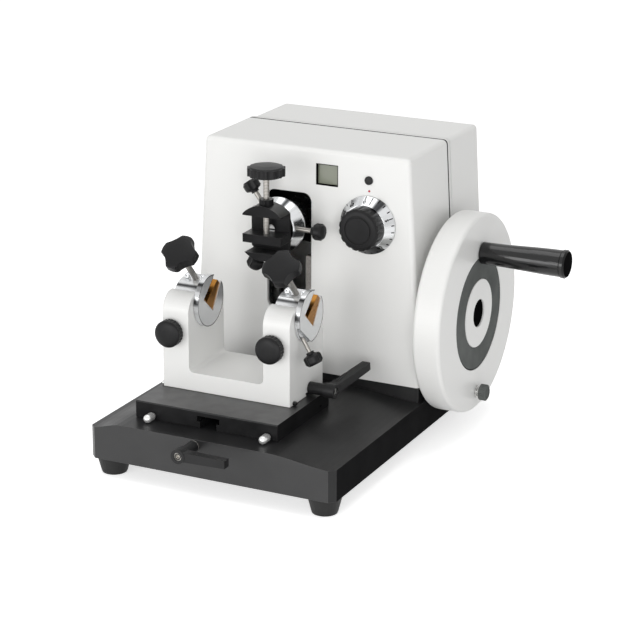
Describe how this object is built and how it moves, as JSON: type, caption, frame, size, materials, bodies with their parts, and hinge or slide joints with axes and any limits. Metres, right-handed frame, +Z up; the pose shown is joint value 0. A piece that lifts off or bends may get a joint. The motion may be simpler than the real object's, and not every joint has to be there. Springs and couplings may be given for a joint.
{
  "type": "rotary microtome",
  "caption": "Hand-driven rotary microtome with a handwheel, a clamped knife holder on a slide plate and a ball-jointed specimen clamp on a vertical carriage.",
  "frame": {"origin": "on the bench, under the centre of the machine's bounding box", "axes": "+X towards the handwheel and its grip, +Y from the front lever to the rear cover, +Z up"},
  "size_m": [0.3968, 0.412, 0.2997],
  "materials": {
    "white_paint": "semi-gloss paint",
    "black_paint": "textured paint",
    "black_metal": "black anodised",
    "black_lever": "satin",
    "foot_rubber": "matte",
    "dark_steel": "oiled",
    "bright_steel": "ground",
    "satin_chrome": "satin",
    "wedge_brass": "machined",
    "black_plastic": "matte",
    "gloss_black": "gloss",
    "grey_metal": "satin",
    "window_glass": "gloss"
  },
  "bodies": {
    "frame": {"base_plate": "black_paint", "rubber_feet": "foot_rubber", "plate_t_bolt": "dark_steel", "housing_plinth": "black_paint", "front_housing": "white_paint", "rear_cover": "white_paint", "lcd_window": "window_glass", "counter_module": "black_plastic", "column_bridge": "dark_steel", "guide_columns": "bright_steel", "wear_rail": "bright_steel", "bearing_housing": "dark_steel", "shaft_bearings": "bright_steel"},
    "front_lever": {"front_clamp_shaft": "bright_steel", "front_clamp_lever": "black_lever"},
    "plate": {"slide_plate": "black_metal", "dovetail_bar": "dark_steel"},
    "holder": {"knife_holder": "white_paint"},
    "side_lever": {"side_clamp_shaft": "bright_steel", "side_clamp_lever": "black_lever"},
    "left_clamp": {"left_clamp_barrel": "satin_chrome", "left_knife_wedge": "wedge_brass"},
    "right_clamp": {"right_clamp_barrel": "satin_chrome", "right_knife_wedge": "wedge_brass", "tilt_lever": "black_plastic"},
    "left_press": {"left_pressure_plate": "dark_steel"},
    "right_press": {"right_pressure_plate": "dark_steel"},
    "left_star": {"left_star_knob": "black_plastic"},
    "right_star": {"right_star_knob": "black_plastic"},
    "left_lock": {"left_lock_knob": "black_plastic"},
    "right_lock": {"right_lock_knob": "black_plastic"},
    "lift": {"carriage": "dark_steel", "feed_bracket": "dark_steel"},
    "arm": {"specimen_arm": "bright_steel", "socket_ring": "satin_chrome"},
    "feed_drive": {"feed_screw": "bright_steel", "ratchet_wheel": "bright_steel"},
    "pawl": {"feed_pawl": "bright_steel"},
    "seat": {"ball_seat": "wedge_brass"},
    "vise": {"specimen_vise": "black_metal", "vise_ball": "bright_steel", "collar_nut": "black_metal"},
    "jaw": {"movable_jaw": "black_metal"},
    "jaw_screw": {"clamp_screw": "bright_steel", "clamp_knob": "black_plastic"},
    "orient_right": {"orient_knob_right": "black_plastic"},
    "orient_upper": {"orient_knob_upper": "black_plastic"},
    "orient_lower": {"orient_knob_lower": "black_plastic"},
    "wheel": {"main_shaft": "bright_steel", "crank_disc": "bright_steel", "handwheel": "white_paint", "wheel_ring": "grey_metal", "hub_cap": "gloss_black"},
    "grip": {"crank_grip": "gloss_black"},
    "wheel_lock": {"wheel_lock_knob": "grey_metal"},
    "dial": {"dial_ring": "satin_chrome", "dial_knob": "black_plastic", "dial_shaft": "bright_steel"},
    "button": {"reset_button": "gloss_black"},
    "coarse": {"coarse_feed_knob": "black_plastic"}
  },
  "joints": [
    {"name": "front_lever_turn", "type": "hinge", "parent": "frame", "child": "front_lever", "pos_m": [-0.07151, -0.174, 0.05], "axis": [0, 1, 0], "range_deg": [-60, 60]},
    {"name": "plate_slide", "type": "slide", "parent": "frame", "child": "plate", "axis": [0, 1, 0], "range_m": [-0.028, 0]},
    {"name": "holder_slide", "type": "slide", "parent": "plate", "child": "holder", "axis": [1, 0, 0], "range_m": [-0.004, 0.01]},
    {"name": "side_lever_turn", "type": "hinge", "parent": "holder", "child": "side_lever", "pos_m": [0.01149, -0.0555, 0.0812], "axis": [1, 0, 0], "range_deg": [-15, 60]},
    {"name": "left_knife_tilt", "type": "hinge", "parent": "holder", "child": "left_clamp", "pos_m": [-0.13401, -0.062, 0.1573], "axis": [1, 0, 0], "range_deg": [-15, 15]},
    {"name": "left_press_slide", "type": "slide", "parent": "left_clamp", "child": "left_press", "axis": [0, 0.6767, -0.7362], "range_m": [0, 0.003]},
    {"name": "left_star_turn", "type": "hinge", "parent": "left_press", "child": "left_star", "pos_m": [-0.12851, -0.06135, 0.17587], "axis": [0, 0.6767, -0.7362], "range_deg": [0, 1080]},
    {"name": "left_lock_turn", "type": "hinge", "parent": "holder", "child": "left_lock", "pos_m": [-0.13701, -0.098, 0.1322], "axis": [0, 1, 0], "range_deg": [-90, 90]},
    {"name": "right_knife_tilt", "type": "hinge", "parent": "holder", "child": "right_clamp", "pos_m": [-0.02301, -0.062, 0.1573], "axis": [1, 0, 0], "range_deg": [-15, 15]},
    {"name": "right_press_slide", "type": "slide", "parent": "right_clamp", "child": "right_press", "axis": [0, 0.6767, -0.7362], "range_m": [0, 0.003]},
    {"name": "right_star_turn", "type": "hinge", "parent": "right_press", "child": "right_star", "pos_m": [-0.01751, -0.06135, 0.17587], "axis": [0, 0.6767, -0.7362], "range_deg": [0, 1080]},
    {"name": "right_lock_turn", "type": "hinge", "parent": "holder", "child": "right_lock", "pos_m": [-0.02601, -0.098, 0.1322], "axis": [0, 1, 0], "range_deg": [-90, 90]},
    {"name": "specimen_stroke", "type": "slide", "parent": "frame", "child": "lift", "axis": [0, 0, 1], "range_m": [-0.062, 0]},
    {"name": "specimen_feed", "type": "slide", "parent": "lift", "child": "arm", "axis": [0, -1, 0], "range_m": [0, 0.01]},
    {"name": "feed_screw_turn", "type": "hinge", "parent": "lift", "child": "feed_drive", "pos_m": [-0.07151, 0.126, 0.2235], "axis": [0, 1, 0], "range_deg": [0, 1800]},
    {"name": "feed_pawl_lift", "type": "hinge", "parent": "lift", "child": "pawl", "pos_m": [-0.04351, 0.152, 0.2375], "axis": [0, 1, 0], "range_deg": [0, 15]},
    {"name": "head_swing", "type": "hinge", "parent": "arm", "child": "seat", "pos_m": [-0.07151, -0.001, 0.2235], "axis": [0, 0, 1], "range_deg": [-5.5, 5.5]},
    {"name": "head_tilt", "type": "hinge", "parent": "seat", "child": "vise", "pos_m": [-0.07151, -0.001, 0.2235], "axis": [1, 0, 0], "range_deg": [-5.5, 5.5]},
    {"name": "jaw_slide", "type": "slide", "parent": "vise", "child": "jaw", "axis": [0, 0, 1], "range_m": [-0.009, 0.004]},
    {"name": "jaw_screw_turn", "type": "hinge", "parent": "jaw", "child": "jaw_screw", "pos_m": [-0.07151, -0.022, 0.2235], "axis": [0, 0, 1], "range_deg": [-1080, 480]},
    {"name": "orient_right_turn", "type": "hinge", "parent": "arm", "child": "orient_right", "pos_m": [-0.07151, -0.001, 0.2235], "axis": [1, 0, 0], "range_deg": [-180, 180]},
    {"name": "orient_upper_turn", "type": "hinge", "parent": "arm", "child": "orient_upper", "pos_m": [-0.07151, -0.001, 0.2235], "axis": [-0.5736, 0, 0.8192], "range_deg": [-180, 180]},
    {"name": "orient_lower_turn", "type": "hinge", "parent": "arm", "child": "orient_lower", "pos_m": [-0.07151, -0.001, 0.2235], "axis": [-0.5, 0, -0.866], "range_deg": [-180, 180]},
    {"name": "handwheel_spin", "type": "hinge", "parent": "frame", "child": "wheel", "pos_m": [0.07729, 0.1007, 0.1288], "axis": [1, 0, 0], "continuous": true},
    {"name": "grip_spin", "type": "hinge", "parent": "wheel", "child": "grip", "pos_m": [0.10689, 0.10477, 0.19167], "axis": [1, 0, 0], "continuous": true},
    {"name": "wheel_lock_pull", "type": "slide", "parent": "wheel", "child": "wheel_lock", "axis": [1, 0, 0], "range_m": [0, 0.006]},
    {"name": "thickness_dial_turn", "type": "hinge", "parent": "frame", "child": "dial", "pos_m": [0.01649, 0.026, 0.229], "axis": [0, 1, 0], "range_deg": [0, 300]},
    {"name": "reset_press", "type": "slide", "parent": "frame", "child": "button", "axis": [0, 1, 0], "range_m": [0, 0.001], "stiffness_N_per_m": 600, "springref_m": -0.001},
    {"name": "coarse_feed_turn", "type": "hinge", "parent": "frame", "child": "coarse", "pos_m": [-0.18851, 0.1007, 0.15], "axis": [1, 0, 0], "range_deg": [0, 1800]}
  ],
  "couplings": [
    {"joint": "left_star_turn", "follows": "left_press_slide", "rad_per_m": 6283.2},
    {"joint": "right_star_turn", "follows": "right_press_slide", "rad_per_m": 6283.2},
    {"joint": "jaw_screw_turn", "follows": "jaw_slide", "rad_per_m": 2094.4},
    {"joint": "feed_screw_turn", "follows": "specimen_feed", "rad_per_m": 3141.6},
    {"joint": "coarse_feed_turn", "follows": "specimen_feed", "rad_per_m": 3141.6}
  ]
}
